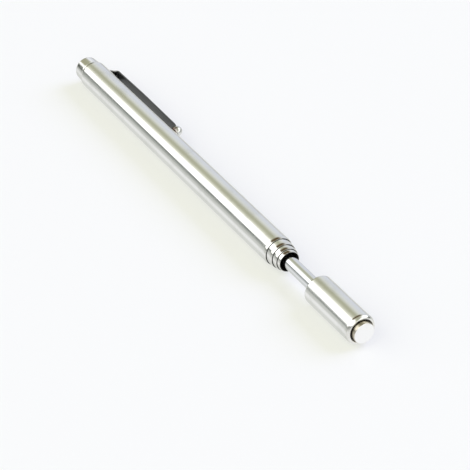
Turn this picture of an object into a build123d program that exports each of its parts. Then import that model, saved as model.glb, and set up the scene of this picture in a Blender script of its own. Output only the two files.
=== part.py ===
from build123d import *
import os

# Telescopic magnetic pick-up pen, lying down, in millimetres.
# X runs along the axis from the rear cap's flat end to the magnet, Y points to the clip, Z is up.

# Nested tubes: the barrel is tube 0, the sections are tubes 1 to 5, the rod slides in the last one
barrel_diameter = 8.0
barrel_length = 103.5
section_count = 5
tube_wall = 0.22
tube_gap = 0.14
# How far each section's front stands out of the tube around it, with the pen pushed together
section_steps = [2.35, 1.65, 1.05, -8.85, -6.0]
tail_clearance = 0.3

# Mouth of each tube, rolled in around the next one, with a thin lip and a flare inside it
mouth_clearance = 0.04
mouth_land = 0.5
mouth_slope = 0.3
mouth_lip = 0.05
mouth_flare_depth = 0.35
mouth_roll_length = 1.0
mouth_roll_drop = 0.16

# Rear cap, a turned plug with a tapered end behind the barrel's rolled rear edge
rear_roll_length = 0.3
rear_roll_drop = 0.06
cap_length = 4.7
cap_inset = 0.35
cap_end_diameter = 6.8
cap_taper_length = 3.9
cap_taper_radius = 4.0
cap_edge_radius = 0.8
cap_seat_clearance = 0.03
plug_length = 8.7

# Friction spring and stop collar on each section's tail
fit_clearance = 0.02
spring_seat_clearance = 0.01
spring_offset = 0.6
spring_length = 4.8
spring_slit = 0.8
dimple_diameter = 0.8
dimple_depth = 0.14
dimple_clearance = 0.05
collar_offset = 6.0
collar_length = 1.2
collar_chamfer = 0.05
stop_clearance = 0.3

# Rod, drawn a little way out of the last section
rod_showing = 13.65
head_seat_gap = 0.2
rod_socket_depth = 8.0
rod_tail_chamfer = 0.3
rod_groove_depth = 0.14
rod_groove_play = 0.1
rod_spring_clearance = 0.05

# Magnet head
head_diameter = 8.0
head_length = 19.8
head_rear_radius = 0.5
head_front_radius = 0.75
head_wall = 0.9
head_bore_depth = 7.0
head_bore_chamfer = 0.1
magnet_gap = 0.3
magnet_proud = 1.2
magnet_edge_radius = 0.2
sleeve_clearance = 0.02
sleeve_recess = 0.25

# Pocket clip: a sprung strip hooked under the barrel wall, with a ball at its free end.
# Its places are measured from the barrel's rear edge, its heights from the barrel's surface.
clip_thickness = 0.45
clip_width = 4.1
clip_tip_width = 3.8
clip_neck_width = 3.8
clip_tab_place = 1.3
clip_ramp_place = 2.2
clip_shoulder_place = 4.9
clip_shoulder_height = 1.35
clip_crest_place = 19.7
clip_crest_height = 1.6
clip_end_height = 1.45
clip_bend_radius = 0.9
clip_arm_radius = 300.0
clip_ball_place = 39.2
clip_ball_diameter = 3.0
clip_ball_gap = 0.08
clip_tab_clearance = 0.15
clip_tab_room = 0.25
clip_slot_clearance = 0.15
clip_neck_length = 0.9
clip_corner_radius = 0.4
clip_tip_radius = 1.3

# Places worked out from the sizes above
barrel_radius = barrel_diameter / 2
cap_radius = barrel_radius - cap_inset
barrel_rear = cap_length
barrel_front = barrel_rear + barrel_length
plug_shoulder = barrel_rear + mouth_land + mouth_slope
plug_front = barrel_rear + plug_length
tail_x = plug_front + tail_clearance
clip_tab_x = barrel_rear + clip_tab_place
clip_ramp_x = barrel_rear + clip_ramp_place
clip_shoulder_x = barrel_rear + clip_shoulder_place
clip_crest_x = barrel_rear + clip_crest_place
clip_ball_x = barrel_rear + clip_ball_place


def tube_radius(number):
    return barrel_radius - number * (tube_wall + tube_gap)


def bore_radius(number):
    return tube_radius(number) - tube_wall


def mouth_radius(number):
    return tube_radius(number + 1) + mouth_clearance


def front_x(number):
    return barrel_front + sum(section_steps[:number])


rod_radius = tube_radius(section_count + 1)
head_radius = head_diameter / 2
head_bore = head_radius - head_wall
magnet_radius = head_bore - magnet_gap
mouth_x = max(front_x(number) for number in range(section_count + 1))
head_rear = mouth_x + rod_showing
head_front = head_rear + head_length
magnet_seat = head_front - head_bore_depth
magnet_face = head_front + magnet_proud
rod_drawn = rod_showing - head_seat_gap
rod_tail_x = tail_x + rod_drawn


def turned(*edges):
    outline = Curve()
    for edge in edges:
        outline += edge
    return revolve(make_face(outline), Axis.X)


def ring(start, length, inner, outer):
    return turned(Polyline((start, inner), (start + length, inner), (start + length, outer),
                           (start, outer), close=True))


def barrel_tube():
    inner = bore_radius(0)
    rear_mouth = cap_radius + cap_seat_clearance
    front_mouth = mouth_radius(0)
    rear_rolled = barrel_radius - rear_roll_drop
    rear_lip = rear_rolled - mouth_lip
    front_rolled = barrel_radius - mouth_roll_drop
    tube = turned(
        Line((barrel_rear, rear_lip), (barrel_rear, rear_rolled)),
        TangentArc((barrel_rear + rear_roll_length, barrel_radius), (barrel_rear, rear_rolled),
                   tangent=(-1, 0)),
        Line((barrel_rear + rear_roll_length, barrel_radius),
             (barrel_front - mouth_roll_length, barrel_radius)),
        TangentArc((barrel_front - mouth_roll_length, barrel_radius), (barrel_front, front_rolled),
                   tangent=(1, 0)),
        Polyline((barrel_front, front_rolled), (barrel_front, front_rolled - mouth_lip),
                 (barrel_front - mouth_flare_depth, front_mouth),
                 (barrel_front - mouth_land, front_mouth),
                 (barrel_front - mouth_land - mouth_slope, inner),
                 (plug_shoulder, inner), (barrel_rear + mouth_land, rear_mouth),
                 (barrel_rear + mouth_flare_depth, rear_mouth), (barrel_rear, rear_lip)))
    return tube - clip_slot()


def section_tube(number):
    outer = tube_radius(number)
    inner = bore_radius(number)
    mouth = mouth_radius(number)
    front = front_x(number)
    rolled = outer - mouth_roll_drop
    tube = turned(
        Line((tail_x, inner), (tail_x, outer)),
        Line((tail_x, outer), (front - mouth_roll_length, outer)),
        TangentArc((front - mouth_roll_length, outer), (front, rolled), tangent=(1, 0)),
        Polyline((front, rolled), (front, rolled - mouth_lip), (front - mouth_flare_depth, mouth),
                 (front - mouth_land, mouth), (front - mouth_land - mouth_slope, inner),
                 (tail_x, inner)))
    return tube - dimples(outer, tube_wall, dimple_diameter + 2 * dimple_clearance)


def dimples(radius, depth, diameter):
    # Two round pegs, above and below the axis, in the middle of the friction spring
    middle = tail_x + spring_offset + spring_length / 2
    reach = depth + tube_gap / 2
    pegs = Part()
    for side in (1, -1):
        centre = side * (radius - depth + reach / 2)
        pegs += Pos(middle, 0, centre) * Cylinder(diameter / 2, reach)
    return pegs


def split_sleeve(start, length, inner, outer):
    sleeve = ring(start, length, inner, outer)
    slit = Pos(start + length / 2, -outer, 0) * Box(2 * length, outer, spring_slit)
    return sleeve - slit


def section_friction_spring(number):
    inner = tube_radius(number) + spring_seat_clearance
    outer = bore_radius(number - 1) - fit_clearance
    sleeve = split_sleeve(tail_x + spring_offset, spring_length, inner, outer)
    return sleeve + dimples(tube_radius(number), dimple_depth, dimple_diameter)


def stop_collar(tail, inner, outer):
    start = tail + collar_offset
    end = start + collar_length
    return turned(Polyline((start, inner), (end, inner), (end, outer - collar_chamfer),
                           (end - collar_chamfer, outer), (start + collar_chamfer, outer),
                           (start, outer - collar_chamfer), close=True))


def section_stop_collar(number):
    return stop_collar(tail_x, tube_radius(number), bore_radius(number - 1) - fit_clearance)


def rear_cap():
    plug_radius = bore_radius(0)
    cap = turned(
        FilletPolyline((0, 0), (0, cap_end_diameter / 2), (cap_taper_length, cap_radius),
                       (plug_shoulder, cap_radius), radius=(cap_edge_radius, cap_taper_radius)),
        Polyline((plug_shoulder, cap_radius), (plug_shoulder, plug_radius),
                 (plug_front, plug_radius), (plug_front, 0), (0, 0)))
    return cap - clip_tab_groove()


def inner_rod():
    groove_start = rod_tail_x + spring_offset - rod_groove_play / 2
    groove_end = groove_start + spring_length + rod_groove_play
    groove = rod_radius - rod_groove_depth
    rod_end = head_rear + rod_socket_depth
    return turned(Polyline((rod_tail_x, 0), (rod_tail_x, rod_radius - rod_tail_chamfer),
                           (rod_tail_x + rod_tail_chamfer, rod_radius), (groove_start, rod_radius),
                           (groove_start, groove), (groove_end, groove), (groove_end, rod_radius),
                           (rod_end, rod_radius), (rod_end, 0), close=True))


def rod_friction_spring():
    inner = rod_radius - rod_groove_depth + rod_spring_clearance
    outer = bore_radius(section_count) - fit_clearance
    return split_sleeve(rod_tail_x + spring_offset, spring_length, inner, outer)


def rod_stop_collar():
    return stop_collar(rod_tail_x, rod_radius, bore_radius(section_count) - fit_clearance)


def head_shell():
    rear_face = head_radius - head_rear_radius
    front_face = head_radius - head_front_radius
    socket = head_rear + rod_socket_depth
    return turned(
        Polyline((magnet_seat, 0), (socket, 0), (socket, rod_radius), (head_rear, rod_radius),
                 (head_rear, rear_face)),
        TangentArc((head_rear + head_rear_radius, head_radius), (head_rear, rear_face),
                   tangent=(-1, 0)),
        Line((head_rear + head_rear_radius, head_radius),
             (head_front - head_front_radius, head_radius)),
        TangentArc((head_front - head_front_radius, head_radius), (head_front, front_face),
                   tangent=(1, 0)),
        Polyline((head_front, front_face), (head_front, head_bore + head_bore_chamfer),
                 (head_front - head_bore_chamfer, head_bore), (magnet_seat, head_bore),
                 (magnet_seat, 0)))


def magnet_sleeve():
    return ring(magnet_seat, head_bore_depth - sleeve_recess, magnet_radius + sleeve_clearance,
                head_bore - sleeve_clearance)


def magnet():
    rounded = magnet_radius - magnet_edge_radius
    return turned(
        Polyline((magnet_face, rounded), (magnet_face, 0), (magnet_seat, 0),
                 (magnet_seat, magnet_radius), (magnet_face - magnet_edge_radius, magnet_radius)),
        TangentArc((magnet_face - magnet_edge_radius, magnet_radius), (magnet_face, rounded),
                   tangent=(1, 0)))


# Height of the clip's inner tab, just under the barrel wall at the tab's long edges
tab_ceiling = (bore_radius(0) ** 2 - (clip_neck_width / 2) ** 2) ** 0.5
clip_tab_y = tab_ceiling - clip_tab_clearance - clip_thickness / 2
clip_ball_y = barrel_radius + clip_ball_gap + clip_ball_diameter / 2
clip_ramp_slope = ((barrel_radius + clip_shoulder_height - clip_tab_y)
                   / (clip_shoulder_x - clip_ramp_x))


def ramp_x(height):
    # Where the middle of the clip's ramp reaches a height above the axis
    return clip_ramp_x + (height - clip_tab_y) / clip_ramp_slope


def clip_slot():
    # The ramp is this long where it is cut parallel to the axis
    ramp_cut = clip_thickness * (1 + clip_ramp_slope ** 2) ** 0.5 / clip_ramp_slope
    start = ramp_x(tab_ceiling) - ramp_cut / 2 - clip_slot_clearance
    end = ramp_x(barrel_radius) + ramp_cut / 2 + clip_slot_clearance
    height = 2 * (barrel_radius - tab_ceiling) + tube_wall
    return (Pos((start + end) / 2, barrel_radius, 0)
            * Box(end - start, height, clip_neck_width + 2 * clip_slot_clearance))


def clip_tab_groove():
    # Open to the front, so that the plug slides in past the clip's tab
    floor = clip_tab_y - clip_thickness / 2 - clip_tab_room
    start = clip_tab_x - clip_thickness / 2 - clip_tab_room
    length = plug_front - start
    return (Pos(start + length / 2, floor + barrel_radius / 2, 0)
            * Box(length, barrel_radius, clip_neck_width + 2 * clip_slot_clearance))


def pocket_clip():
    path = FilletPolyline((clip_tab_x, clip_tab_y), (clip_ramp_x, clip_tab_y),
                          (clip_shoulder_x, barrel_radius + clip_shoulder_height),
                          (clip_crest_x, barrel_radius + clip_crest_height),
                          (clip_ball_x, barrel_radius + clip_end_height),
                          radius=(clip_bend_radius, clip_bend_radius, clip_arm_radius))
    side_view = make_face(offset(path, clip_thickness / 2, kind=Kind.INTERSECTION, side=Side.BOTH))
    strip = extrude(side_view, clip_width / 2, both=True)
    neck = clip_neck_width / 2
    wide = clip_width / 2
    tip = clip_tip_width / 2
    rear = clip_tab_x - clip_thickness
    neck_end = clip_shoulder_x - clip_neck_length
    side_radii = [clip_corner_radius] * 3
    outline = FilletPolyline((rear, neck), (neck_end, neck), (clip_shoulder_x, wide),
                             (clip_ball_x, tip), (clip_ball_x, -tip), (clip_shoulder_x, -wide),
                             (neck_end, -neck), (rear, -neck), close=True,
                             radius=side_radii + [clip_tip_radius] * 2 + side_radii)
    plan_view = extrude(Plane.XZ * make_face(outline), 2 * barrel_diameter, both=True)
    ball = Pos(clip_ball_x, clip_ball_y, 0) * Sphere(clip_ball_diameter / 2)
    return (strip & plan_view) + ball


def write(name, solid):
    export_step(solid, os.path.join("parts", name + ".step"))


os.makedirs("parts", exist_ok=True)
write("barrel_tube", barrel_tube())
write("rear_cap", rear_cap())
write("pocket_clip", pocket_clip())
for number in range(1, section_count + 1):
    write(f"section_{number}_tube", section_tube(number))
    write(f"section_{number}_friction_spring", section_friction_spring(number))
    write(f"section_{number}_stop_collar", section_stop_collar(number))
write("inner_rod", inner_rod())
write("rod_friction_spring", rod_friction_spring())
write("rod_stop_collar", rod_stop_collar())
write("head_shell", head_shell())
write("magnet_sleeve", magnet_sleeve())
write("magnet", magnet())

# Travel of each slide, up to its collar's stop behind the mouth of the tube around it
collar_front = collar_offset + collar_length
for number in range(1, section_count + 2):
    tail = rod_tail_x if number > section_count else tail_x
    stop = front_x(number - 1) - mouth_land - mouth_slope - stop_clearance
    print(f"slide {number} travels {stop - tail - collar_front:.2f} mm out")
print(f"the rod goes {rod_drawn:.2f} mm in")
print(f"clip bends about x {ramp_x(barrel_radius - tube_wall / 2):.2f}, "
      f"y {barrel_radius - tube_wall / 2:.2f}")
print(f"head from x {head_rear:.2f} to {head_front:.2f}, magnet face at {magnet_face:.2f}")
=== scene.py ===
import math

import bpy
import numpy as np
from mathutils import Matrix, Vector


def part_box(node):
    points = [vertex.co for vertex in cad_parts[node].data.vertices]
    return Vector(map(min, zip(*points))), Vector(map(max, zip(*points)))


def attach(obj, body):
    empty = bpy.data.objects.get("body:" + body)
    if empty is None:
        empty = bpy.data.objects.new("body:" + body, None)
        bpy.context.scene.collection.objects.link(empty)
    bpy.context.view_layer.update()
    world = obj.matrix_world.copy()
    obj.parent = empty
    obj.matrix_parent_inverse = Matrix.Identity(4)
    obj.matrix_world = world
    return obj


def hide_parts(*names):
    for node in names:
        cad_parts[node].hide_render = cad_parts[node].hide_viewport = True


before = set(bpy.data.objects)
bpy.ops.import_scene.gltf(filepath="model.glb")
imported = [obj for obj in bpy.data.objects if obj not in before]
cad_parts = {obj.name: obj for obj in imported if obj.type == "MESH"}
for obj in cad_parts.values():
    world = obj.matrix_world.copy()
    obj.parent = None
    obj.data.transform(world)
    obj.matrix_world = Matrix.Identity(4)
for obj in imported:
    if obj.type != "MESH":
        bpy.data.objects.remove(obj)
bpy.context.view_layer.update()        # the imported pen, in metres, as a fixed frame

mm = 0.001


# Shapes. Every piece is a grid of points worked out as whole arrays, in millimetres.

def unit(vectors):
    return vectors / np.linalg.norm(vectors, axis=-1, keepdims=True)


guardShare = 0.3        # of a straight stretch, the most that lies between an arc and its guard point
leastGuard = 1e-4       # millimetres
onWall = 1e-6           # millimetres, within which a point counts as on a wall


# Outline through corners, each rounded by an arc that is tangent to both of its sides. A guard point
# stands on each side of an arc, so that the straight stretch shades flat. Ends of an open outline stay.
# Gives the points and how much of an outer edge each one is: 1 on a convex arc, 0 elsewhere.
def roundedOutline(corners, radii, closed=False, steps=6, guard=0.1):
    allCorners = np.asarray(corners, float)
    previous = np.roll(allCorners, 1, axis=0)
    following = np.roll(allCorners, -1, axis=0)
    pick = slice(None) if closed else slice(1, -1)
    here = allCorners[pick]
    back = unit(previous[pick] - here)
    ahead = unit(following[pick] - here)
    half = np.arccos(np.clip((back * ahead).sum(axis=1), -1, 1)) / 2
    radius = np.broadcast_to(np.asarray(radii, float), half.shape)
    reach = radius / np.tan(half)
    middle = here + unit(back + ahead) * (radius / np.sin(half))[:, None]
    first = here + back * reach[:, None] - middle
    last = here + ahead * reach[:, None] - middle
    sweep = np.pi - 2 * half
    share = np.linspace(0, 1, steps + 1)
    fromFirst = np.sin((1 - share) * sweep[:, None]) / np.sin(sweep)[:, None]
    fromLast = np.sin(share * sweep[:, None]) / np.sin(sweep)[:, None]
    arcs = middle[:, None] + first[:, None] * fromFirst[..., None] + last[:, None] * fromLast[..., None]

    lengths = np.linalg.norm(following - allCorners, axis=1)[pick]
    backLengths = np.linalg.norm(previous - allCorners, axis=1)[pick]
    ends = np.zeros(1)
    reachNext = np.roll(reach, -1) if closed else np.concatenate([reach[1:], ends])
    reachBack = np.roll(reach, 1) if closed else np.concatenate([ends, reach[:-1]])
    roomNext = np.clip((lengths - reach - reachNext) * guardShare, leastGuard, guard)
    roomBack = np.clip((backLengths - reach - reachBack) * guardShare, leastGuard, guard)
    before = here + back * (reach + roomBack)[:, None]
    after = here + ahead * (reach + roomNext)[:, None]
    points = np.concatenate([before[:, None], arcs, after[:, None]], axis=1)

    turn = ahead[:, 0] * back[:, 1] - ahead[:, 1] * back[:, 0]
    edge = np.zeros(points.shape[:2])
    edge[:, 1:-1] = (turn < 0)[:, None]
    points = points.reshape(-1, 2)
    edge = edge.reshape(-1)
    if not closed:
        points = np.concatenate([allCorners[:1], points, allCorners[-1:]])
        edge = np.concatenate([ends, edge, ends])
    return points, edge


# Quads between the points of a grid, which closes on itself along either direction where asked
def gridQuads(rows, columns, closeRows=False, closeColumns=False):
    row = np.arange(rows if closeRows else rows - 1)[:, None]
    column = np.arange(columns if closeColumns else columns - 1)[None, :]
    nextRow = (row + 1) % rows
    nextColumn = (column + 1) % columns
    quads = np.stack([row * columns + column, row * columns + nextColumn,
                      nextRow * columns + nextColumn, nextRow * columns + column], axis=-1)
    return quads.reshape(-1, 4)


def evenAngles(count):
    return np.arange(count) * (2 * np.pi / count)


# Turned surface: point (row, column) = (x of the outline, radius times the cosine and sine of the angle)
def turnedPoints(outline, angles):
    along = np.broadcast_to(outline[:, :1], (len(outline), len(angles)))
    return np.stack([along, outline[:, 1:] * np.cos(angles), outline[:, 1:] * np.sin(angles)], axis=-1)


# Smooth mesh with its marks as point attributes, on its body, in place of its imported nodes
def makePiece(name, points, faces, marks, body, nodes, material):
    mesh = bpy.data.meshes.new(name)
    mesh.from_pydata((points * mm).tolist(), [], faces)
    mesh.polygons.foreach_set("use_smooth", np.ones(len(mesh.polygons), dtype=bool))
    for mark, values in marks.items():
        attribute = mesh.attributes.new(mark, "FLOAT", "POINT")
        attribute.data.foreach_set("value", np.asarray(values, np.float32))
    mesh.materials.append(material)
    mesh.update()
    piece = bpy.data.objects.new(name, mesh)
    bpy.context.scene.collection.objects.link(piece)
    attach(piece, body)
    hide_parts(*nodes)
    return piece


# Ring or tube: a closed outline turned about the axis
def turnedRing(outline, edge, bareAndShade, angles):
    points = turnedPoints(outline, angles).reshape(-1, 3)
    faces = gridQuads(len(outline), len(angles), closeRows=True, closeColumns=True)
    marks = {"edgeMark": np.repeat(edge, len(angles)), "bareMark": np.repeat(bareAndShade, len(angles))}
    return points, faces, marks


# Turned solid: an outline from axis to axis, whose two ends are single points closed by triangles
def turnedSolid(outline, edge, bareAndShade, angles):
    count = len(angles)
    rings = turnedPoints(outline[1:-1], angles).reshape(-1, 3)
    poles = np.array([[outline[0, 0], 0, 0], [outline[-1, 0], 0, 0]])
    points = np.concatenate([rings, poles])
    quads = gridQuads(len(outline) - 2, count, closeColumns=True)
    column = np.arange(count)
    nextColumn = (column + 1) % count
    lastRow = (len(outline) - 3) * count
    first = np.full(count, len(rings))
    rearFan = np.stack([first, nextColumn, column], axis=-1)
    frontFan = np.stack([lastRow + column, lastRow + nextColumn, first + 1], axis=-1)
    faces = quads.tolist() + rearFan.tolist() + frontFan.tolist()
    marks = {"edgeMark": np.concatenate([np.repeat(edge[1:-1], count), np.zeros(2)]),
             "bareMark": np.concatenate([np.repeat(bareAndShade[1:-1], count), np.zeros(2)])}
    return points, faces, marks


# Node box as rear x, front x and radius, in millimetres
def turnedBox(node):
    low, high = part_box(node)
    return low.x / mm, high.x / mm, high.z / mm


# Shader node helpers

def addNode(tree, kind, inputs=None, **settings):
    node = tree.nodes.new(kind)
    for key, value in settings.items():
        setattr(node, key, value)
    for key, value in (inputs or {}).items():
        if isinstance(value, bpy.types.NodeSocket):
            tree.links.new(value, node.inputs[key])
        else:
            node.inputs[key].default_value = value
    return node


def mathNode(tree, operation, first, second=0.5, clamp=False):
    node = addNode(tree, "ShaderNodeMath", {0: first, 1: second}, operation=operation, use_clamp=clamp)
    return node.outputs[0]


def ranged(tree, value, low, high, toLow=0.0, toHigh=1.0, smooth=True):
    kind = "SMOOTHSTEP" if smooth else "LINEAR"
    node = addNode(tree, "ShaderNodeMapRange", {"Value": value, "From Min": low, "From Max": high,
                                                "To Min": toLow, "To Max": toHigh}, interpolation_type=kind)
    return node.outputs[0]


def mixColour(tree, factor, first, second):
    node = addNode(tree, "ShaderNodeMix", {0: factor, 6: first, 7: second}, data_type="RGBA")
    return node.outputs[2]


# Soft window over a value: up from 0 to 1 between the first two places, down again between the last two
def softWindow(tree, value, places):
    start, full, leave, end = places
    rise = ranged(tree, value, start, full)
    fall = ranged(tree, value, leave, end, 1.0, 0.0)
    return mathNode(tree, "MULTIPLY", rise, fall)


def newGroup(name, inputs, outputs):
    tree = bpy.data.node_groups.new(name, "ShaderNodeTree")
    for label, value in inputs:
        socket = tree.interface.new_socket(label, in_out="INPUT", socket_type="NodeSocketFloat")
        socket.default_value = value
    for label in outputs:
        tree.interface.new_socket(label, in_out="OUTPUT", socket_type="NodeSocketFloat")
    return tree, tree.nodes.new("NodeGroupInput").outputs, tree.nodes.new("NodeGroupOutput")


def placeGroup(tree, group, inputs):
    return addNode(tree, "ShaderNodeGroup", inputs, node_tree=group).outputs


# Shape of the wear: the haze's finer mottle, the scratches, the patches of rubbing and the share of pits
effectShape = {"fineTimes": 7.0, "fineShare": 0.3,
               "scratchAxis": (0.2, 0.5, 0.8), "scratchDrawn": (0.09, 1.0, 1.0), "scratchLevel": 0.5,
               "scratchPatches": 320.0, "scratchKept": (0.56, 0.66),
               "rubPatches": (0.4, 0.7), "pitChance": (0.9, 0.92)}


# Fine lines of polishing: noise drawn out along the axis or around it, by its scales per metre
def polishLinesGroup():
    tree, given, out = newGroup("polishLines", [("Along", 60.0), ("Across", 9000.0)], ["Lines"])
    place = addNode(tree, "ShaderNodeTexCoord").outputs["Object"]
    scale = addNode(tree, "ShaderNodeCombineXYZ",
                    {0: given["Along"], 1: given["Across"], 2: given["Across"]}).outputs[0]
    drawn = addNode(tree, "ShaderNodeVectorMath", {0: place, 1: scale}, operation="MULTIPLY").outputs[0]
    noise = addNode(tree, "ShaderNodeTexNoise", {"Vector": drawn, "Scale": 1.0, "Detail": 3.0,
                                                 "Roughness": 0.6}).outputs[0]
    tree.links.new(noise, out.inputs["Lines"])
    return tree


# Handling haze: broad soft patches with a finer mottle in them
def handlingHazeGroup():
    tree, given, out = newGroup("handlingHaze", [("Size", 140.0), ("Start", 0.45), ("Full", 0.75)], ["Haze"])
    place = addNode(tree, "ShaderNodeTexCoord").outputs["Object"]
    broad = addNode(tree, "ShaderNodeTexNoise", {"Vector": place, "Scale": given["Size"], "Detail": 2.0,
                                                 "Distortion": 0.6}).outputs[0]
    fineSize = mathNode(tree, "MULTIPLY", given["Size"], effectShape["fineTimes"])
    fine = addNode(tree, "ShaderNodeTexNoise", {"Vector": place, "Scale": fineSize, "Detail": 3.0}).outputs[0]
    mottle = mathNode(tree, "MULTIPLY_ADD", fine, effectShape["fineShare"])
    mottle.node.inputs[2].default_value = -effectShape["fineShare"] / 2
    both = mathNode(tree, "ADD", broad, mottle)
    tree.links.new(ranged(tree, both, given["Start"], given["Full"]), out.inputs["Haze"])
    return tree


# Hair scratches: thin level lines of a long drawn noise, turned by an angle, kept in a few places only
def hairScratchesGroup():
    tree, given, out = newGroup("hairScratches", [("Turn", 0.4), ("Spread", 900.0), ("Width", 0.012)],
                                ["Scratch"])
    place = addNode(tree, "ShaderNodeTexCoord").outputs["Object"]
    turned = addNode(tree, "ShaderNodeVectorRotate", {"Vector": place, "Angle": given["Turn"],
                                                      "Axis": effectShape["scratchAxis"]}).outputs[0]
    drawn = addNode(tree, "ShaderNodeVectorMath", {0: turned, 1: effectShape["scratchDrawn"]},
                    operation="MULTIPLY").outputs[0]
    noise = addNode(tree, "ShaderNodeTexNoise", {"Vector": drawn, "Scale": given["Spread"],
                                                 "Detail": 1.0}).outputs[0]
    level = mathNode(tree, "ABSOLUTE", mathNode(tree, "SUBTRACT", noise, effectShape["scratchLevel"]))
    line = ranged(tree, level, 0.0, given["Width"], 1.0, 0.0)
    where = addNode(tree, "ShaderNodeTexNoise", {"Vector": place, "Scale": effectShape["scratchPatches"],
                                                 "Detail": 1.0}).outputs[0]
    kept = ranged(tree, where, *effectShape["scratchKept"])
    tree.links.new(mathNode(tree, "MULTIPLY", line, kept), out.inputs["Scratch"])
    return tree


# Rubbed edges: the piece's own edge mark, broken up by noise
def rubbedEdgeGroup():
    tree, given, out = newGroup("rubbedEdge", [("Edge", 0.0), ("Grain", 2600.0), ("Amount", 0.5)], ["Rub"])
    place = addNode(tree, "ShaderNodeTexCoord").outputs["Object"]
    noise = addNode(tree, "ShaderNodeTexNoise", {"Vector": place, "Scale": given["Grain"], "Detail": 4.0,
                                                 "Roughness": 0.65}).outputs[0]
    patch = ranged(tree, noise, *effectShape["rubPatches"])
    amount = mathNode(tree, "MULTIPLY", patch, given["Amount"])
    tree.links.new(mathNode(tree, "MULTIPLY", amount, given["Edge"]), out.inputs["Rub"])
    return tree


# Tiny pits in the plate: the middles of scattered cells
def platePitsGroup():
    tree, given, out = newGroup("platePits", [("Density", 1500.0), ("Size", 0.12)], ["Pits"])
    place = addNode(tree, "ShaderNodeTexCoord").outputs["Object"]
    cells = addNode(tree, "ShaderNodeTexVoronoi", {"Vector": place, "Scale": given["Density"]})
    dot = ranged(tree, cells.outputs["Distance"], 0.0, given["Size"], 1.0, 0.0)
    chance = addNode(tree, "ShaderNodeSeparateColor", {0: cells.outputs["Color"]}).outputs[0]
    kept = ranged(tree, chance, *effectShape["pitChance"])
    tree.links.new(mathNode(tree, "MULTIPLY", dot, kept), out.inputs["Pits"])
    return tree


polishLines = polishLinesGroup()
handlingHaze = handlingHazeGroup()
hairScratches = hairScratchesGroup()
rubbedEdge = rubbedEdgeGroup()
platePits = platePitsGroup()
print("surface effects: 5 groups")


# Finishes

def newMaterial(name):
    material = bpy.data.materials.new(name)
    material.use_nodes = True
    tree = material.node_tree
    tree.nodes.clear()
    shader = tree.nodes.new("ShaderNodeBsdfPrincipled")
    output = tree.nodes.new("ShaderNodeOutputMaterial")
    tree.links.new(shader.outputs[0], output.inputs["Surface"])
    return material, tree, shader


# Polished metal with polishing lines, haze, hair scratches, pits and rubbed edges. Where the bare-and-shade
# mark is 1, the metal has a second colour and roughness: in a tube's bore, unplated metal darkened near to
# black as painted shade of the deep bore; under the clip, painted shade of the gap; on the magnet's side,
# painted shade.
def polishedMetal(name, look):
    material, tree, shader = newMaterial(name)
    lines = placeGroup(tree, polishLines, {"Along": look["linesAlong"],
                                           "Across": look["linesAcross"]})["Lines"]
    haze = placeGroup(tree, handlingHaze, {"Size": look["hazeSize"]})["Haze"]
    scratch = placeGroup(tree, hairScratches, {"Turn": look["scratchTurn"]})["Scratch"]
    pits = placeGroup(tree, platePits, {})["Pits"]
    edge = addNode(tree, "ShaderNodeAttribute", attribute_name="edgeMark").outputs["Fac"]
    rub = placeGroup(tree, rubbedEdge, {"Edge": edge, "Amount": look["rubAmount"]})["Rub"]

    colour = mixColour(tree, haze, (*look["colour"], 1), (*look["hazeColour"], 1))
    colour = mixColour(tree, rub, colour, (*look["rubColour"], 1))
    colour = mixColour(tree, pits, colour, (*look["pitColour"], 1))
    rough = ranged(tree, haze, 0.0, 1.0, look["roughness"], look["hazeRoughness"], smooth=False)
    swing = look["lineRoughness"]
    lineRough = ranged(tree, lines, *look["lineRange"], -swing, swing, smooth=False)
    rough = mathNode(tree, "ADD", rough, lineRough)
    rough = mathNode(tree, "ADD", rough, mathNode(tree, "MULTIPLY", scratch, look["scratchRoughness"]))
    rough = mathNode(tree, "ADD", rough, mathNode(tree, "MULTIPLY", rub, look["rubRoughness"]), clamp=True)
    height = mathNode(tree, "SUBTRACT", mathNode(tree, "MULTIPLY", lines, look["lineDepth"]),
                      mathNode(tree, "MULTIPLY", scratch, look["scratchDepth"]))
    shader.inputs["Metallic"].default_value = 1.0
    if look.get("bareAndShadeColour"):
        bareAndShade = addNode(tree, "ShaderNodeAttribute", attribute_name="bareMark").outputs["Fac"]
        colour = mixColour(tree, bareAndShade, colour, (*look["bareAndShadeColour"], 1))
        rough = ranged(tree, bareAndShade, 0.0, 1.0, rough, look["bareRoughness"], smooth=False)
        if look.get("bareMetallic"):
            metallic = ranged(tree, bareAndShade, 0.0, 1.0, 1.0, look["bareMetallic"], smooth=False)
            tree.links.new(metallic, shader.inputs["Metallic"])
    # painted brown reflection of a dark warm room, on the clip's ball
    if look.get("brownReflectionColour"):
        brownReflection = addNode(tree, "ShaderNodeAttribute", attribute_name="brownReflectionMark").outputs["Fac"]
        colour = mixColour(tree, brownReflection, colour, (*look["brownReflectionColour"], 1))
    bump = addNode(tree, "ShaderNodeBump", {"Strength": look["bumpStrength"],
                                            "Distance": look["bumpHeight"] * mm, "Height": height}).outputs[0]
    tree.links.new(colour, shader.inputs["Base Color"])
    tree.links.new(rough, shader.inputs["Roughness"])
    tree.links.new(bump, shader.inputs["Normal"])
    return material


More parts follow.
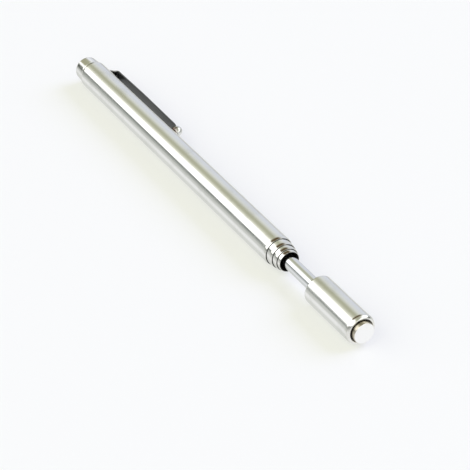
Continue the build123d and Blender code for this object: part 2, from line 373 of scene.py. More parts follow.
chromeLook = {
    "colour": (0.845, 0.85, 0.835), "hazeColour": (0.80, 0.805, 0.785), "rubColour": (0.70, 0.68, 0.60),
    "pitColour": (0.42, 0.40, 0.36), "roughness": 0.10, "hazeRoughness": 0.17,
    "linesAlong": 70.0, "linesAcross": 9000.0, "lineDepth": 0.5, "scratchDepth": 0.6, "bumpStrength": 0.12,
    "hazeSize": 140.0, "scratchTurn": 0.35, "rubAmount": 0.45, "bumpHeight": 0.02,
    "lineRange": (0.3, 0.7), "lineRoughness": 0.02, "scratchRoughness": 0.15, "rubRoughness": 0.2,
}
# Bores: unplated inner metal, darkened near to black as painted shade of the deep bore
boreLook = {"bareAndShadeColour": (0.018, 0.016, 0.014), "bareRoughness": 0.55, "bareMetallic": 0.2}
turnedLines = {"linesAlong": 8000.0, "linesAcross": 150.0}        # run around a turned piece
barrelChrome = polishedMetal("barrelChrome", {**chromeLook, **boreLook})
capChrome = polishedMetal("capChrome", {**chromeLook, "linesAlong": 9000.0, "linesAcross": 120.0,
                                        "roughness": 0.12, "scratchTurn": 1.1})
sectionChrome = polishedMetal("sectionChrome", {**chromeLook, **boreLook, "colour": (0.84, 0.84, 0.825),
                                                "roughness": 0.08, "hazeRoughness": 0.14,
                                                "scratchTurn": 0.12})
rodChrome = polishedMetal("rodChrome", {**chromeLook, "colour": (0.81, 0.825, 0.85), "roughness": 0.09,
                                        "scratchTurn": 0.2})
headChrome = polishedMetal("headChrome", {**chromeLook, **boreLook, **turnedLines, "scratchTurn": 0.8,
                                          "rubAmount": 0.6})
# Clip: underside and edges darkened as painted shade of the gap, outer face a little as a darker finish, ball
# with a painted brown reflection
clipSteel = polishedMetal("clipSteel", {**chromeLook, "colour": (0.72, 0.72, 0.72), "roughness": 0.12,
                                        "linesAlong": 120.0, "rubAmount": 0.3,
                                        "bareAndShadeColour": (0.122, 0.124, 0.128), "bareRoughness": 0.32,
                                        "brownReflectionColour": (0.15, 0.10, 0.08)})
# Magnet: its side darker and golden, painted shade of the gap with a painted brown reflection
magnetNickel = polishedMetal("magnetNickel", {**chromeLook, "colour": (0.95, 0.955, 0.96),
                                              "hazeColour": (0.86, 0.86, 0.855), "roughness": 0.16,
                                              "hazeRoughness": 0.26, "linesAlong": 1500.0,
                                              "linesAcross": 2200.0, "rubAmount": 0.3,
                                              "bareAndShadeColour": (0.55, 0.51, 0.42), "bareRoughness": 0.22})
springBronze = polishedMetal("springBronze", {**chromeLook, "colour": (0.72, 0.45, 0.25),
                                              "hazeColour": (0.50, 0.28, 0.15),
                                              "rubColour": (0.85, 0.60, 0.38),
                                              "pitColour": (0.25, 0.13, 0.07), "roughness": 0.3,
                                              "hazeRoughness": 0.5})
collarBrass = polishedMetal("collarBrass", {**chromeLook, **turnedLines, "colour": (0.78, 0.62, 0.32),
                                            "hazeColour": (0.60, 0.44, 0.20),
                                            "rubColour": (0.90, 0.76, 0.46),
                                            "pitColour": (0.30, 0.20, 0.09), "roughness": 0.25,
                                            "hazeRoughness": 0.42})


# Black moulded plastic: a fine grain, greyer in patches
def blackPlastic(name, look):
    material, tree, shader = newMaterial(name)
    haze = placeGroup(tree, handlingHaze, {"Size": look["hazeSize"]})["Haze"]
    grain = placeGroup(tree, polishLines, {"Along": look["grain"], "Across": look["grain"]})["Lines"]
    tree.links.new(mixColour(tree, haze, (*look["colour"], 1), (*look["hazeColour"], 1)),
                   shader.inputs["Base Color"])
    tree.links.new(ranged(tree, grain, *look["grainRange"], look["roughness"], look["grainRoughness"]),
                   shader.inputs["Roughness"])
    bump = addNode(tree, "ShaderNodeBump", {"Strength": look["bumpStrength"],
                                            "Distance": look["bumpHeight"] * mm, "Height": grain}).outputs[0]
    tree.links.new(bump, shader.inputs["Normal"])
    return material


sleevePlastic = blackPlastic("sleevePlastic", {"colour": (0.012, 0.012, 0.012),
                                               "hazeColour": (0.03, 0.029, 0.027), "hazeSize": 500.0,
                                               "grain": 5000.0, "grainRange": (0.3, 0.7),
                                               "roughness": 0.35, "grainRoughness": 0.55,
                                               "bumpStrength": 0.3, "bumpHeight": 0.02})
print("finishes:", len(bpy.data.materials))


# Barrel: a drawn tube, rolled in at both ends around the cap and the first section, with a slot for the clip

barrelSizes = {"wall": 0.22, "frontRoll": (1.0, 0.16), "rearRoll": (0.8, 0.12), "frontMouth": 3.68,
               "rearMouth": 3.68, "lip": 0.05, "lipEdge": 0.008, "flareDepth": 0.35, "land": 0.5,
               "slope": 0.3, "edge": 0.02, "slotStart": 6.83, "slotEnd": 8.60, "slotWidth": 4.1,
               "slotSteps": 32, "slotLines": 3, "around": 180}
rollShare = 0.95        # of a roll's radius, which leaves room for the lip's own small edge


# Rolled end, by its length along the axis and its drop: how far from the end the two tangents of its arc
# meet, and the arc's radius, (length squared + drop squared) / (2 drop)
def rollCorner(length, drop):
    radius = (length ** 2 + drop ** 2) / (2 * drop)
    turn = math.asin(length / radius)
    return length - radius * math.tan(turn / 2), radius


# Closed outline of the wall, turned about the axis. Over the slot the faces are left out, and four walls join
# the outer wall's points to the inner wall's.
def barrelPiece(sizes):
    rear, front, outer = turnedBox("barrel_tube")
    inner = outer - sizes["wall"]
    rearCorner, rearRadius = rollCorner(*sizes["rearRoll"])
    frontCorner, frontRadius = rollCorner(*sizes["frontRoll"])
    rearRolled = outer - sizes["rearRoll"][1]
    frontRolled = outer - sizes["frontRoll"][1]
    rearLip = rearRolled - sizes["lip"]
    frontLip = frontRolled - sizes["lip"]
    frontLand = front - sizes["land"]
    rearLand = rear + sizes["land"]
    edge = sizes["edge"]
    lipEdge = sizes["lipEdge"]
    corners = [(rear, rearLip), (rear, rearRolled), (rear + rearCorner, outer),
               (front - frontCorner, outer), (front, frontRolled), (front, frontLip),
               (front - sizes["flareDepth"], sizes["frontMouth"]), (frontLand, sizes["frontMouth"]),
               (frontLand - sizes["slope"], inner), (rearLand + sizes["slope"], inner),
               (rearLand, sizes["rearMouth"]), (rear + sizes["flareDepth"], sizes["rearMouth"])]
    radii = [lipEdge, lipEdge, rearRadius * rollShare, frontRadius * rollShare, lipEdge, lipEdge,
             edge, edge, edge, edge, edge, edge]
    outline, edgeMark = roundedOutline(corners, radii, closed=True, steps=12)
    # inside the lips: unplated metal darkened as painted shade of the bore
    bareMark = (outline[:, 1] < frontLip - lipEdge).astype(float)

    # the slot's lines of points go into the outer wall and, the other way round, into the inner wall
    lines = sizes["slotLines"]
    slotPlaces = np.linspace(sizes["slotStart"], sizes["slotEnd"], lines)
    behindSlot = (outline[:, 1] > outer - onWall) & (outline[:, 0] < sizes["slotStart"])
    aheadOfSlot = (outline[:, 1] < inner + onWall) & (outline[:, 0] > sizes["slotEnd"])
    outerStart = np.flatnonzero(behindSlot).max() + 1
    innerPlace = np.flatnonzero(aheadOfSlot).max() + 1
    innerStart = innerPlace + lines
    places = [outerStart] * lines + [innerPlace] * lines
    outerLines = np.stack([slotPlaces, np.full(lines, outer)], axis=1)
    innerLines = np.stack([slotPlaces[::-1], np.full(lines, inner)], axis=1)
    outline = np.insert(outline, places, np.concatenate([outerLines, innerLines]), axis=0)
    edgeMark = np.insert(edgeMark, places, 0.0)
    bareMark = np.insert(bareMark, places, [0] * lines + [1] * lines)

    halfAngle = math.asin(sizes["slotWidth"] / 2 / (outer - sizes["wall"] / 2))
    steps = sizes["slotSteps"]
    elsewhere = np.linspace(halfAngle, 2 * np.pi - halfAngle, sizes["around"] - steps + 1)
    angles = np.concatenate([np.linspace(-halfAngle, halfAngle, steps + 1), elsewhere[1:-1]])
    points, faces, marks = turnedRing(outline, edgeMark, bareMark, angles)
    count = len(angles)
    last = lines - 1
    row = np.arange(last)
    faceRow, faceColumn = np.divmod(np.arange(len(faces)), count)
    inSlotRow = np.isin(faceRow, np.concatenate([outerStart + row, innerStart + row]))
    faces = faces[~(inSlotRow & (faceColumn < steps))]

    # walls of the slot, from the outer wall's points to the inner wall's
    def point(row, column):
        return row * count + column

    column = np.arange(steps)
    outerRow = outerStart + row
    innerRow = innerStart + last - row
    rearWall = np.stack([point(outerStart, column), point(outerStart, column + 1),
                         point(innerStart + last, column + 1), point(innerStart + last, column)], axis=-1)
    frontWall = np.stack([point(outerStart + last, column), point(innerStart, column),
                          point(innerStart, column + 1), point(outerStart + last, column + 1)], axis=-1)
    sideWall = np.stack([point(outerRow, 0), point(innerRow, 0),
                         point(innerRow - 1, 0), point(outerRow + 1, 0)], axis=-1)
    otherWall = np.stack([point(outerRow, steps), point(outerRow + 1, steps),
                          point(innerRow - 1, steps), point(innerRow, steps)], axis=-1)
    faces = np.concatenate([faces, rearWall, frontWall, sideWall, otherWall])
    return makePiece("barrelTube", points, faces.tolist(), marks, "barrel", ["barrel_tube"],
                     barrelChrome)


barrelPiece(barrelSizes)
print("barrel")


# Rear cap: a turned plug with a tapered end and a groove along it for the clip's tab

capSizes = {"endRadius": 3.4, "edgeRadius": 0.8, "taperLength": 3.9, "taperRadius": 4.0,
            "exposedRadius": 3.65, "shoulder": 5.5, "edge": 0.05, "around": 160,
            "grooveStart": 5.62, "grooveFloor": 2.418, "grooveWidth": 4.1, "grooveSteps": 30,
            "grooveStep": 0.01, "grooveSlant": 0.003, "grooveMargin": 1e-4}


# Outline from axis to axis, turned. In the groove, y is the lesser of the turned point's and the floor's.
def capPiece(sizes):
    rear, front, plug = turnedBox("rear_cap")
    exposed = sizes["exposedRadius"]
    start = sizes["grooveStart"]
    corners = [(rear, 0), (rear, sizes["endRadius"]), (sizes["taperLength"], exposed),
               (sizes["shoulder"], exposed), (sizes["shoulder"], plug), (front, plug), (front, 0)]
    radii = [sizes["edgeRadius"], sizes["taperRadius"], sizes["edge"], sizes["edge"], sizes["edge"]]
    outline, edgeMark = roundedOutline(corners, radii, steps=24)
    place = np.flatnonzero((outline[:, 0] < start) & (outline[:, 1] > plug - onWall)).max() + 1
    step = sizes["grooveStep"]
    outline = np.insert(outline, [place] * 2, [[start, plug], [start + step, plug]], axis=0)
    edgeMark = np.insert(edgeMark, [place] * 2, 0.0)
    halfWidth = sizes["grooveWidth"] / 2
    halfAngle = math.asin(halfWidth / plug)
    slant = sizes["grooveSlant"]
    angles = np.concatenate([np.linspace(-halfAngle, halfAngle, sizes["grooveSteps"]), [halfAngle + slant],
                             np.linspace(halfAngle, 2 * np.pi - halfAngle, sizes["around"])[1:-1],
                             [2 * np.pi - halfAngle - slant]])
    points, faces, marks = turnedSolid(outline, edgeMark, np.zeros(len(outline)), np.sort(angles))
    inGroove = (points[:, 0] > start + step / 2) & (np.abs(points[:, 2]) < halfWidth + sizes["grooveMargin"])
    points[:, 1] = np.where(inGroove, np.minimum(points[:, 1], sizes["grooveFloor"]), points[:, 1])
    return makePiece("rearCap", points, faces, marks, "barrel", ["rear_cap"], capChrome)


capPiece(capSizes)
print("rear cap")


# Sections: thin drawn tubes whose mouths are rolled in around the next one

sectionSizes = {"count": 5, "wall": 0.22, "mouthDrop": 0.32, "roll": (1.0, 0.16), "lip": 0.05,
                "lipEdge": 0.008, "flareDepth": 0.35, "land": 0.5, "slope": 0.3, "edge": 0.018,
                "around": 160}


# Closed outline of the wall, turned about the axis, with a land inside its mouth that guides the next tube
def sectionPiece(number, sizes):
    node = f"section_{number}_tube"
    rear, front, outer = turnedBox(node)
    inner = outer - sizes["wall"]
    mouth = outer - sizes["mouthDrop"]
    corner, radius = rollCorner(*sizes["roll"])
    rolled = outer - sizes["roll"][1]
    lip = rolled - sizes["lip"]
    edge = sizes["edge"]
    lipEdge = sizes["lipEdge"]
    corners = [(rear, inner), (rear, outer), (front - corner, outer), (front, rolled), (front, lip),
               (front - sizes["flareDepth"], mouth), (front - sizes["land"], mouth),
               (front - sizes["land"] - sizes["slope"], inner)]
    radii = [edge, edge, radius * rollShare, lipEdge, lipEdge, edge, edge, edge]
    outline, edgeMark = roundedOutline(corners, radii, closed=True, steps=12)
    # inside the lip: unplated metal darkened as painted shade of the bore
    bareMark = ((outline[:, 1] < lip - lipEdge) & (outline[:, 0] > rear + edge)).astype(float)
    points, faces, marks = turnedRing(outline, edgeMark, bareMark, evenAngles(sizes["around"]))
    return makePiece(f"section{number}Tube", points, faces.tolist(), marks, f"section_{number}", [node],
                     sectionChrome)


for sectionNumber in range(1, sectionSizes["count"] + 1):
    sectionPiece(sectionNumber, sectionSizes)
print("sections:", sectionSizes["count"])


# Rod: a polished bar with a seat for its friction spring near the tail

rodSizes = {"grooveDepth": 0.14, "grooveStart": 27.7, "grooveEnd": 32.6, "tailChamfer": 0.3, "edge": 0.03,
            "around": 128}


# Outline from axis to axis, turned
def rodPiece(sizes):
    rear, front, outer = turnedBox("inner_rod")
    groove = outer - sizes["grooveDepth"]
    corners = [(rear, 0), (rear, outer - sizes["tailChamfer"]), (rear + sizes["tailChamfer"], outer),
               (sizes["grooveStart"], outer), (sizes["grooveStart"], groove), (sizes["grooveEnd"], groove),
               (sizes["grooveEnd"], outer), (front, outer), (front, 0)]
    outline, edgeMark = roundedOutline(corners, sizes["edge"], steps=5)
    points, faces, marks = turnedSolid(outline, edgeMark, np.zeros(len(outline)), evenAngles(sizes["around"]))
    return makePiece("innerRod", points, faces, marks, "rod", ["inner_rod"], rodChrome)


rodPiece(rodSizes)
print("rod")


# Magnet head: turned shell, plastic sleeve and disc magnet

headSizes = {"rearRadius": 0.5, "frontRadius": 0.75, "boreRadius": 3.1, "boreChamfer": 0.1, "boreDepth": 7.0,
             "socketDepth": 8.0, "rodRadius": 1.84, "edge": 0.03, "around": 180, "sleeveEdge": 0.04,
             "sleeveGap": 0.02, "magnetEdge": 0.2, "magnetSide": 1 / 3, "frontReach": 0.9,
             "frontStretch": 1.6}


# Three outlines turned about the axis. The shell's front edge is a quarter of an ellipse: an arc whose
# distances from the front are stretched. The magnet's side, a share of the way over its own edge, is darker
# and golden: painted shade of the gap around it, with a painted brown reflection.
def headPieces(sizes):
    rear, front, outer = turnedBox("head_shell")
    bore = sizes["boreRadius"]
    edge = sizes["edge"]
    seat = front - sizes["boreDepth"]
    socket = rear + sizes["socketDepth"]
    chamfer = sizes["boreChamfer"]
    corners = [(socket, 0), (socket, sizes["rodRadius"]), (rear, sizes["rodRadius"]), (rear, outer),
               (front, outer), (front, bore + chamfer), (front - chamfer, bore), (seat, bore), (seat, 0)]
    radii = [edge, edge, sizes["rearRadius"], sizes["frontRadius"], edge, edge, edge]
    outline, edgeMark = roundedOutline(corners, radii, steps=14)
    inFrontEdge = (outline[:, 0] > front - sizes["frontReach"]) & (outline[:, 1] > bore + chamfer)
    stretched = front - (front - outline[:, 0]) * sizes["frontStretch"]
    outline[:, 0] = np.where(inFrontEdge, stretched, outline[:, 0])
    # the bore that holds the magnet: unplated metal darkened as painted shade
    inBore = (outline[:, 0] < front - chamfer - edge) & (outline[:, 1] < bore + onWall)
    bareMark = (inBore & (outline[:, 0] > rear + edge)).astype(float)
    angles = evenAngles(sizes["around"])
    points, faces, marks = turnedSolid(outline, edgeMark, bareMark, angles)
    makePiece("headShell", points, faces, marks, "rod", ["head_shell"], headChrome)

    rear, front, outer = turnedBox("magnet_sleeve")
    magnetRear, magnetFront, magnetRadius = turnedBox("magnet")
    inner = magnetRadius + sizes["sleeveGap"]
    outline, edgeMark = roundedOutline([(rear, inner), (rear, outer), (front, outer), (front, inner)],
                                       sizes["sleeveEdge"], closed=True)
    points, faces, marks = turnedRing(outline, edgeMark, np.zeros(len(outline)), angles)
    makePiece("magnetSleeve", points, faces.tolist(), marks, "rod", ["magnet_sleeve"],
              sleevePlastic)

    corners = [(magnetRear, 0), (magnetRear, magnetRadius), (magnetFront, magnetRadius), (magnetFront, 0)]
    outline, edgeMark = roundedOutline(corners, [edge, sizes["magnetEdge"]], steps=10)
    # painted shade and brown reflection on the magnet's side
    sideMark = (outline[:, 1] > magnetRadius - sizes["magnetEdge"] * sizes["magnetSide"]).astype(float)
    points, faces, marks = turnedSolid(outline, edgeMark, sideMark, angles)
    makePiece("discMagnet", points, faces, marks, "rod", ["magnet"], magnetNickel)


headPieces(headSizes)
print("head, sleeve and magnet")


# Pocket clip: a strip bent out of the slot and along the barrel, with a ball at its free end

clipSizes = {"thickness": 0.45, "path": [(6.0, 2.893), (6.9, 2.893), (9.6, 5.35), (24.4, 5.6), (43.9, 5.45)],
             "bends": [0.9, 0.9, 300.0], "planBends": [0.4, 0.4],
             "plan": [(5.5, 1.9), (8.7, 1.9), (9.6, 2.05), (43.9, 1.9)], "tipRadius": 1.3, "edge": 0.11,
             "stations": 220, "tipStations": 20, "outerShare": 0.4, "rootEnds": (8.8, 9.6), "rootShare": 0.3,
             "ballCentre": (43.9, 5.58, 0.0), "ballRadius": 1.5, "ballSteps": 64, "brownReflection": (0.2, 0.6)}


# Strip: its section, a rounded rectangle as wide as the plan is there, carried along the bent path.
# At the tip the half width falls by r - sqrt(r^2 - d^2), d being the distance into the tip's rounding.
# Its edges and underside are darkened as painted shade of the gap under the clip. Its outer face has a share
# of that, as a darker finish, and its root only a share, as a painted highlight where it bends.
def stripSurface(sizes):
    path = roundedOutline(sizes["path"], sizes["bends"], steps=24, guard=0.6)[0]
    plan = roundedOutline(sizes["plan"], sizes["planBends"], steps=8)[0]
    travelled = np.concatenate([[0], np.cumsum(np.linalg.norm(np.diff(path, axis=0), axis=1))])
    tip = sizes["tipRadius"]
    end = travelled[-1]
    tipStations = end - tip + tip * np.sin(np.linspace(0, np.pi / 2, sizes["tipStations"]))
    stations = np.unique(np.concatenate([travelled, np.linspace(0, end, sizes["stations"]), tipStations]))
    centre = np.stack([np.interp(stations, travelled, path[:, 0]),
                       np.interp(stations, travelled, path[:, 1])], axis=1)
    along = unit(np.gradient(centre, stations, axis=0))
    outward = np.stack([-along[:, 1], along[:, 0]], axis=1)
    intoTip = np.clip(stations - end + tip, 0, tip)
    halfWidth = np.interp(centre[:, 0], plan[:, 0], plan[:, 1]) - tip + np.sqrt(tip ** 2 - intoTip ** 2)
    halfThick = sizes["thickness"] / 2
    square = np.array([(-1, -1), (-1, 1), (1, 1), (1, -1)], float)
    section, sectionEdge = roundedOutline(square * [1.0, halfThick], sizes["edge"], closed=True, steps=4,
                                          guard=0.15)
    sideways = section[:, 0] - np.sign(section[:, 0])      # distance from the strip's own edge
    across = np.sign(section[:, 0]) * halfWidth[:, None] + sideways
    inPlane = centre[:, None, :] + outward[:, None, :] * section[:, 1][None, :, None]
    points = np.concatenate([inPlane, across[..., None]], axis=-1)
    rows, columns = points.shape[:2]
    faces = gridQuads(rows, columns, closeColumns=True).tolist()
    faces.append(list(range(columns))[::-1])
    faces.append([(rows - 1) * columns + column for column in range(columns)])
    # painted shade of the gap on the underside and edges, a share on the outer face as a darker finish, less
    # at the root where the bend catches light
    shadeAndFinish = np.where(section[:, 1] < halfThick - sizes["edge"] / 2, 1.0, sizes["outerShare"])
    shadeKeptAlong = np.interp(centre[:, 0], sizes["rootEnds"], (sizes["rootShare"], 1.0))
    shadeAndFinish = (shadeKeptAlong[:, None] * shadeAndFinish).reshape(-1)
    return points.reshape(-1, 3), faces, np.tile(sectionEdge, rows), shadeAndFinish


# Ball: rings of latitude between two poles, which lie on a line through its centre along the pen
def ballSurface(sizes):
    steps = sizes["ballSteps"]
    latitude = np.linspace(0, np.pi, steps // 2 + 1)
    outline = np.stack([-np.cos(latitude), np.sin(latitude)], axis=1) * sizes["ballRadius"]
    flat = np.zeros(len(outline))
    points, faces = turnedSolid(outline, flat, flat, evenAngles(steps))[:2]
    return points + np.array(sizes["ballCentre"]), faces


# Strip and ball in one mesh. The ball is brown where it faces the barrel, a painted reflection of a dark warm
# room.
def clipPiece(sizes):
    strip, stripFaces, stripEdge, shadeAndFinish = stripSurface(sizes)
    ball, ballFaces = ballSurface(sizes)
    moved = [[index + len(strip) for index in face] for face in ballFaces]
    plain = np.zeros(len(ball))
    # painted brown reflection on the half of the ball that faces the barrel
    towardBarrel = (sizes["ballCentre"][1] - ball[:, 1]) / sizes["ballRadius"]
    reflectionFrom, reflectionTo = sizes["brownReflection"]
    brownReflection = np.clip((towardBarrel - reflectionFrom) / (reflectionTo - reflectionFrom), 0, 1)
    marks = {"edgeMark": np.concatenate([stripEdge, plain]), "bareMark": np.concatenate([shadeAndFinish, plain]),
             "brownReflectionMark": np.concatenate([np.zeros(len(strip)), brownReflection])}
    return makePiece("pocketClip", np.concatenate([strip, ball]), stripFaces + moved, marks, "clip",
                     ["pocket_clip"], clipSteel)


clipPiece(clipSizes)
print("pocket clip")


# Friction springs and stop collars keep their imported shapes, with their own finishes

hiddenFinishes = {"friction_spring": springBronze, "stop_collar": collarBrass}
for nodeName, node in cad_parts.items():
    for ending, finish in hiddenFinishes.items():
        if nodeName.endswith(ending):
            node.data.materials.clear()
            node.data.materials.append(finish)
print("springs and collars")


# Stage: a pale table. Camera rays see a share of its colour at full strength, so it looks nearly white and
# keeps a light shadow. Glossy rays see a painted picture of it as the pen mirrors it: painted light, palest a
# few millimetres to either side of the axis and in front of the magnet, over a greyer base that is painted
# shade under the pen, greyer at a grazing angle, and painted shade far behind the pen.

floorLook = {"height": -4.0, "half": 20.0, "roughness": 0.3, "cameraShare": 0.55,
             "litColour": (0.915, 0.925, 0.72), "seenColour": (0.905, 0.913, 0.945),
             "underColour": (0.75, 0.76, 0.73), "paleColour": (1.0, 1.0, 1.0),
             "paleAcross": (4.5, 9.0, 11.0, 19.0), "paleAhead": (144.0, 147.0),
             "grazingNear": (0.55, 0.56, 0.54), "grazingBehind": (0.62, 0.63, 0.62),
             "nearFrom": -2.0, "nearTo": 2.0, "gloss": 1.5,
             "farColour": (0.40, 0.41, 0.38), "farFrom": -25.0, "farTo": -110.0}


# What glossy rays see of the table, by the place on it and the angle to it
def mirroredTable(tree, look):
    place = addNode(tree, "ShaderNodeTexCoord").outputs["Object"]
    inMillimetres = addNode(tree, "ShaderNodeVectorMath", {0: place, "Scale": 1 / mm}, operation="SCALE")
    parts = addNode(tree, "ShaderNodeSeparateXYZ", {0: inMillimetres.outputs[0]}).outputs
    along = parts["X"]
    across = parts["Y"]
    # painted light to either side of the axis and in front of the magnet, over a base that is painted shade
    # under the pen
    pale = mathNode(tree, "MAXIMUM", softWindow(tree, mathNode(tree, "ABSOLUTE", across), look["paleAcross"]),
                    ranged(tree, along, *look["paleAhead"]))
    flat = mixColour(tree, pale, (*look["underColour"], 1), (*look["paleColour"], 1))
    side = ranged(tree, across, look["nearFrom"], look["nearTo"])
    grazing = mixColour(tree, side, (*look["grazingNear"], 1), (*look["grazingBehind"], 1))
    slant = addNode(tree, "ShaderNodeFresnel", {"IOR": look["gloss"]}).outputs[0]
    # painted shade far behind the pen
    far = ranged(tree, along, look["farTo"], look["farFrom"], 1.0, 0.0)
    return mixColour(tree, far, mixColour(tree, slant, flat, grazing), (*look["farColour"], 1))


# One square, centred under the frame's origin, with its half side in metres
def floorPiece(look):
    half = look["half"]
    height = look["height"] * mm
    corners = [(-half, -half, height), (half, -half, height), (half, half, height), (-half, half, height)]
    mesh = bpy.data.meshes.new("table")
    mesh.from_pydata(corners, [], [[0, 1, 2, 3]])
    material, tree, shader = newMaterial("tableTop")
    shader.inputs["Base Color"].default_value = (*look["litColour"], 1)
    shader.inputs["Roughness"].default_value = look["roughness"]
    ray = addNode(tree, "ShaderNodeLightPath").outputs
    colour = mixColour(tree, ray["Is Glossy Ray"], (*look["seenColour"], 1), mirroredTable(tree, look))
    full = addNode(tree, "ShaderNodeEmission", {"Color": colour, "Strength": 1.0}).outputs[0]
    share = mathNode(tree, "MULTIPLY", ray["Is Camera Ray"], look["cameraShare"])
    share = mathNode(tree, "MAXIMUM", share, ray["Is Glossy Ray"])
    mixed = addNode(tree, "ShaderNodeMixShader", {0: share, 1: shader.outputs[0], 2: full}).outputs[0]
    output = next(node for node in tree.nodes if node.type == "OUTPUT_MATERIAL")
    tree.links.new(mixed, output.inputs["Surface"])
    mesh.materials.append(material)
    table = bpy.data.objects.new("table", mesh)
    bpy.context.scene.collection.objects.link(table)


floorPiece(floorLook)


# Cool fill from the clip's side, for the table alone: the pen's shadow from it is a little warm

fillLook = {"toward": (0.05, 0.8, 0.6), "colour": (0.405, 0.405, 1.0), "strength": 3.2, "soft": 40.0}


def coolFill(look):
    lamp = bpy.data.lights.new("coolFill", "SUN")
    lamp.color = look["colour"]
    lamp.energy = look["strength"]
    lamp.angle = math.radians(look["soft"])
    fill = bpy.data.objects.new("coolFill", lamp)
    fill.rotation_mode = "QUATERNION"
    fill.rotation_quaternion = (-Vector(look["toward"])).to_track_quat("-Z", "Y")
    fill.visible_glossy = False
    bpy.context.scene.collection.objects.link(fill)


coolFill(fillLook)


# Studio light: soft bands that run along the pen, by the angle from straight up towards -Y. The upper and
# the lower edge of the bright band each lean by a few degrees along the pen. Further back, towards -X, other
# bands take over: the rear ones, then the end ones. Ahead, glossy rays see a window on either side, and a
# pale wall helps to light the table. A dark warm room stands above. Places along the pen are the x of a
# ray's direction.

skyTone = (0.40, 0.41, 0.43)
windowTone = (0.92, 0.92, 0.90)
paneTone = (0.55, 0.55, 0.50)
paleTone = (0.50, 0.505, 0.52)
lowTone = (0.33, 0.345, 0.33)
floorTone = (0.30, 0.31, 0.30)
shadeTone = (0.118, 0.125, 0.118)
softShadeTone = (0.13, 0.135, 0.13)
deepTone = (0.02, 0.017, 0.009)
oliveTone = (0.18, 0.175, 0.12)
endShadeTone = (0.10, 0.103, 0.09)
halfTurn = 180        # degrees

studioLook = {
    "bands": [(-180, skyTone), (-95, (0.37, 0.383, 0.425)), (-60, (0.372, 0.386, 0.408)),
              (-42, (0.386, 0.393, 0.383)), (-30, (0.33, 0.335, 0.29)), (-16, (0.24, 0.242, 0.18)),
              (-4, (0.255, 0.257, 0.195)), (8, (0.34, 0.34, 0.275)), (18, (0.50, 0.50, 0.45)),
              (26, (0.84, 0.84, 0.81)), (32, windowTone), (63, windowTone), (71, shadeTone),
              (78, (0.128, 0.135, 0.128)), (85, (0.24, 0.25, 0.235)), (93, (0.32, 0.335, 0.32)),
              (104, skyTone), (180, skyTone)],
    "rearBands": [(-180, skyTone), (-75, skyTone), (-60, paleTone), (-45, paleTone),
                  (-30, (0.22, 0.22, 0.16)), (28, (0.19, 0.185, 0.12)), (38, (0.60, 0.60, 0.55)),
                  (43, windowTone), (51, windowTone), (57, (0.05, 0.053, 0.045)),
                  (98, (0.07, 0.073, 0.065)), (180, lowTone)],
    "endBands": [(-180, skyTone), (-92, paleTone), (-84, (0.48, 0.485, 0.50)), (-76, deepTone),
                 (-30, deepTone), (-20, oliveTone), (20, oliveTone), (43, paneTone), (52, paneTone),
                 (60, endShadeTone), (100, endShadeTone), (180, lowTone)],
    "sideBands": [(-180, skyTone), (-104, skyTone), (-93, floorTone), (-84, softShadeTone),
                  (-73, shadeTone), (-66, windowTone), (-38, windowTone), (-30, (0.50, 0.50, 0.46)),
                  (-20, (0.27, 0.272, 0.22)), (0, (0.22, 0.222, 0.17)), (14, (0.32, 0.32, 0.26)),
                  (24, (0.80, 0.80, 0.77)), (30, windowTone), (63, windowTone), (71, shadeTone),
                  (84, softShadeTone), (93, floorTone), (104, skyTone)],
    "strength": 2.0, "backdrop": (0.885, 0.893, 0.92), "sidesAlong": (-0.30, -0.15),
    "rearFrom": -0.82, "rearTo": -0.86, "endFrom": -0.88, "endTo": -0.90,
    "roomColour": (0.064, 0.045, 0.024), "roomAlong": (-0.66, -0.56, -0.28, -0.14),
    "roomAngle": (-54, -26, 19, 28),
    "wallColour": (0.48, 0.48, 0.475), "wallFrom": 0.2, "wallTo": 0.5, "wallAngle": (-150, -115, -75, -50),
    "leanFrom": 35, "leanTo": 55, "upperRear": (-0.80, -0.73, 12, 0), "upperFront": (-0.71, -0.68, 0, 4),
    "lowerLean": 1.5, "lowerFront": (-0.70, -0.68, 0, 10.5),
}


# Colour ramp over the angle, from stops in degrees
def angleRamp(tree, share, bands):
    ramp = addNode(tree, "ShaderNodeValToRGB", {0: share})
    stops = ramp.color_ramp.elements
    while len(stops) < len(bands):
        stops.new(1.0)
    for stop, (degrees, colour) in zip(stops, bands):
        stop.position = (degrees + halfTurn) / (2 * halfTurn)
        stop.color = (*colour, 1)
    return ramp.outputs[0]


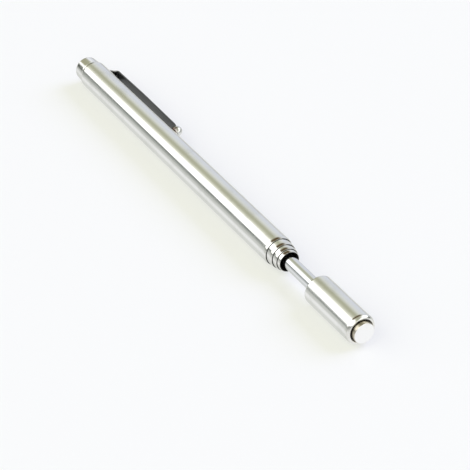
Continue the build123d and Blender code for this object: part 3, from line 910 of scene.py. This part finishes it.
# World whose colour goes by the ray's direction. The camera itself sees a plain backdrop.
def studioWorld(look):
    world = bpy.data.worlds.new("studio")
    bpy.context.scene.world = world
    world.use_nodes = True
    tree = world.node_tree
    tree.nodes.clear()
    direction = addNode(tree, "ShaderNodeTexCoord").outputs["Generated"]
    parts = addNode(tree, "ShaderNodeSeparateXYZ", {0: direction}).outputs
    towardWindow = mathNode(tree, "MULTIPLY", parts["Y"], -1.0)
    angle = mathNode(tree, "DEGREES", mathNode(tree, "ARCTAN2", towardWindow, parts["Z"]))
    along = parts["X"]
    upper = mathNode(tree, "ADD", ranged(tree, along, *look["upperRear"]),
                     ranged(tree, along, *look["upperFront"]))
    lower = mathNode(tree, "ADD", ranged(tree, along, *look["lowerFront"]), look["lowerLean"])
    lean = ranged(tree, angle, look["leanFrom"], look["leanTo"], upper, lower)
    leaning = mathNode(tree, "SUBTRACT", angle, lean)
    straightShare = ranged(tree, angle, -halfTurn, halfTurn, smooth=False)
    leaningShare = ranged(tree, leaning, -halfTurn, halfTurn, smooth=False)
    colour = angleRamp(tree, leaningShare, look["bands"])
    rear = ranged(tree, along, look["rearTo"], look["rearFrom"], 1.0, 0.0)
    colour = mixColour(tree, rear, colour, angleRamp(tree, straightShare, look["rearBands"]))
    end = ranged(tree, along, look["endTo"], look["endFrom"], 1.0, 0.0)
    colour = mixColour(tree, end, colour, angleRamp(tree, straightShare, look["endBands"]))
    wall = mathNode(tree, "MULTIPLY", ranged(tree, along, look["wallFrom"], look["wallTo"]),
                    softWindow(tree, leaning, look["wallAngle"]))
    colour = mixColour(tree, wall, colour, (*look["wallColour"], 1))
    ray = addNode(tree, "ShaderNodeLightPath").outputs
    sides = mathNode(tree, "MULTIPLY", ranged(tree, along, *look["sidesAlong"]), ray["Is Glossy Ray"])
    colour = mixColour(tree, sides, colour, angleRamp(tree, straightShare, look["sideBands"]))
    room = mathNode(tree, "MULTIPLY", softWindow(tree, along, look["roomAlong"]),
                    softWindow(tree, leaning, look["roomAngle"]))
    colour = mixColour(tree, room, colour, (*look["roomColour"], 1))
    lit = addNode(tree, "ShaderNodeBackground", {"Color": colour, "Strength": look["strength"]}).outputs[0]
    backdrop = (*look["backdrop"], 1)
    seen = addNode(tree, "ShaderNodeBackground", {"Color": backdrop, "Strength": 1.0}).outputs[0]
    mixed = addNode(tree, "ShaderNodeMixShader", {0: ray["Is Camera Ray"], 1: lit, 2: seen}).outputs[0]
    output = tree.nodes.new("ShaderNodeOutputWorld")
    tree.links.new(mixed, output.inputs["Surface"])


studioWorld(studioLook)
bpy.context.scene.view_settings.view_transform = "Standard"
print("studio")


# Camera: at the photograph's angle, aimed a little below a point on the axis

cameraPlace = {"azimuth": 60.762, "elevation": 33.0, "distance": 568.67, "aimAlong": 85.945, "aimDrop": 6.406,
               "lens": 171.5, "sensor": 36.0, "nearest": 10.0, "furthest": 100000.0}


def cameraPiece(place):
    azimuth = math.radians(place["azimuth"])
    elevation = math.radians(place["elevation"])
    back = Vector((math.sin(azimuth) * math.cos(elevation), -math.cos(azimuth) * math.cos(elevation),
                   math.sin(elevation)))
    up = Vector((-math.sin(azimuth) * math.sin(elevation), math.cos(azimuth) * math.sin(elevation),
                 math.cos(elevation)))
    target = Vector((place["aimAlong"], 0, 0)) - up * place["aimDrop"]
    data = bpy.data.cameras.new("view")
    data.sensor_width = place["sensor"]
    data.lens = place["lens"]
    data.clip_start = place["nearest"] * mm
    data.clip_end = place["furthest"] * mm
    camera = bpy.data.objects.new("view", data)
    camera.location = (target + back * place["distance"]) * mm
    camera.rotation_mode = "QUATERNION"
    camera.rotation_quaternion = (-back).to_track_quat("-Z", "Y")
    bpy.context.scene.collection.objects.link(camera)
    bpy.context.scene.camera = camera


cameraPiece(cameraPlace)
print("camera")
